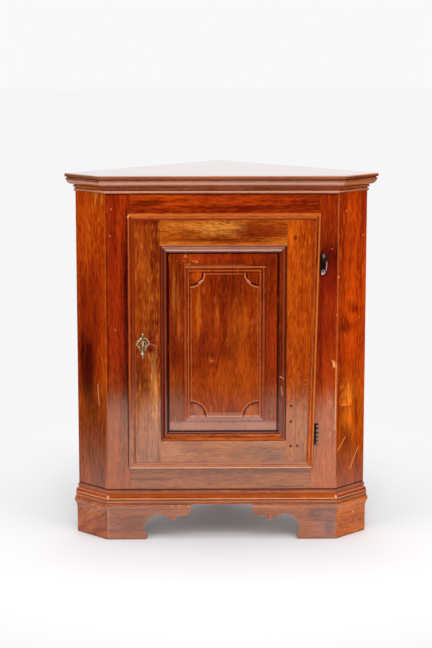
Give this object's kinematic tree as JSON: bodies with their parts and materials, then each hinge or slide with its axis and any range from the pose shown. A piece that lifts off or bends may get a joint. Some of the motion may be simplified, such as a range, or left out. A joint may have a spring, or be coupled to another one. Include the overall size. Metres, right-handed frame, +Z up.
{
  "type": "corner cupboard",
  "caption": "Low walnut corner cupboard with canted sides, a moulded cornice and base, scrolled bracket feet and a raised-panel door.",
  "frame": {"origin": "middle of the underside of the cupboard's box, on the floor", "axes": "+Z up, the door faces -Y, the corner of the walls is on +Y, +X to the right as seen from the front"},
  "size_m": [0.9164, 0.5616, 1.0855],
  "materials": {
    "walnut": "old polished varnish",
    "dark_walnut": "old polished varnish",
    "worn_walnut": "polished, worn along the edges",
    "inside_wood": "plain planed wood, darkened",
    "back_wood": "rough planed softwood, greyed",
    "brass": "worn and tarnished",
    "iron": "dull wrought iron"
  },
  "bodies": {
    "carcase": {"left_front_stile": "walnut", "right_front_stile": "walnut", "top_front_rail": "walnut", "bottom_front_rail": "walnut", "left_cant_board": "walnut", "right_cant_board": "walnut", "left_back_board_1": "back_wood", "left_back_board_2": "back_wood", "left_back_board_3": "back_wood", "right_back_board_1": "back_wood", "right_back_board_2": "back_wood", "right_back_board_3": "back_wood", "rear_post": "inside_wood", "bottom_board": "inside_wood", "bottom_bearer_left": "inside_wood", "bottom_bearer_right": "inside_wood", "bottom_bearer_front": "inside_wood", "shelf": "inside_wood", "shelf_bearer_left": "inside_wood", "shelf_bearer_right": "inside_wood", "top_board_front": "walnut", "top_board_back": "walnut", "cornice_front": "walnut", "cornice_left": "walnut", "cornice_right": "walnut", "base_moulding_front": "walnut", "base_moulding_left": "walnut", "base_moulding_right": "walnut", "front_left_bracket": "walnut", "front_right_bracket": "walnut", "left_side_bracket": "walnut", "right_side_bracket": "walnut", "left_corner_block": "inside_wood", "right_corner_block": "inside_wood", "upper_hinge_frame_leaf": "brass", "upper_hinge_pin": "brass", "lower_hinge_frame_leaf": "iron", "lower_hinge_pin": "iron"},
    "door": {"door_left_stile": "walnut", "door_right_stile": "walnut", "door_top_rail": "walnut", "door_bottom_rail": "walnut", "door_panel": "dark_walnut", "panel_moulding_top": "dark_walnut", "panel_moulding_bottom": "dark_walnut", "panel_moulding_left": "dark_walnut", "panel_moulding_right": "dark_walnut", "door_lip_top": "worn_walnut", "door_lip_bottom": "worn_walnut", "door_lip_left": "worn_walnut", "door_lip_right": "worn_walnut", "upper_hinge_door_leaf": "brass", "lower_hinge_door_leaf": "iron", "keyhole_plate": "brass", "lock_case": "iron"},
    "bolt": {"lock_bolt": "iron"}
  },
  "joints": [
    {"name": "door_swing", "type": "hinge", "parent": "carcase", "child": "door", "pos_m": [0.28571, -0.24375, 0.5725], "axis": [0.023, 0, 0.9997], "range_deg": [0, 150]},
    {"name": "lock_bolt_slide", "type": "slide", "parent": "door", "child": "bolt", "axis": [-1, 0, 0], "range_m": [0, 0.012]}
  ]
}
